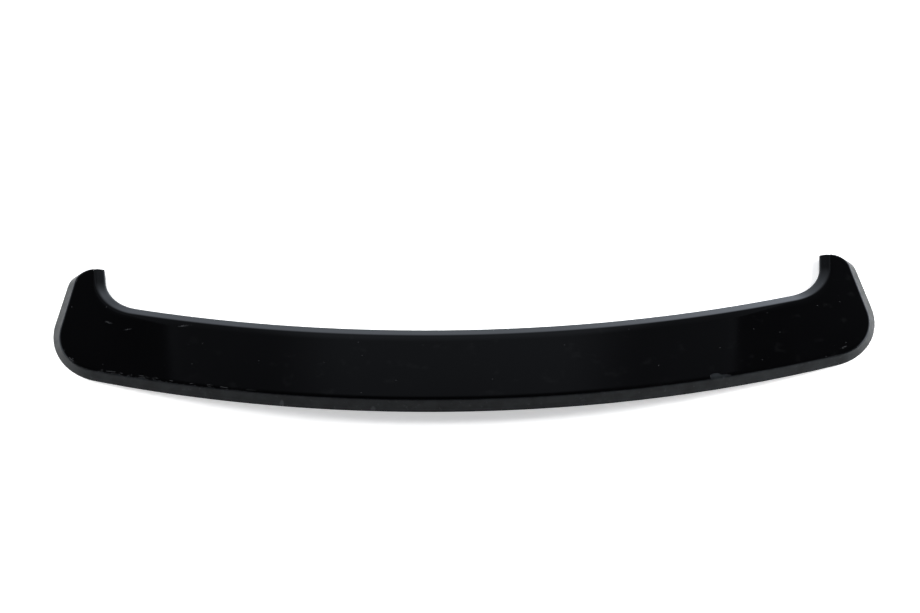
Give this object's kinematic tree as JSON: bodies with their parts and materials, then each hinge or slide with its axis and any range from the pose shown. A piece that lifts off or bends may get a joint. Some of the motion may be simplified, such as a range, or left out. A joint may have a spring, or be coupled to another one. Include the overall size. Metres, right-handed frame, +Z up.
{
  "type": "car spoiler",
  "caption": "Bowed tailgate spoiler with two forward horns, a bevelled front edge and a bare trailing band; hollow underneath with ribs, screw bosses and locating pins.",
  "frame": {"origin": "middle of the width and of the depth, at the lowest level of the rim, which is at the two ends", "axes": "X across the car, Y forward from the trailing edge to the horn tips, Z up"},
  "size_m": [1.1641, 0.2784, 0.0384],
  "materials": {
    "gloss_black": "gloss black coat on moulded plastic, chipped along the trailing edge, where the band below it is bare and matt",
    "insert_brass": "turned"
  },
  "bodies": {
    "root": {"spoiler_shell": "gloss_black", "threaded_inserts": "insert_brass"}
  },
  "joints": []
}
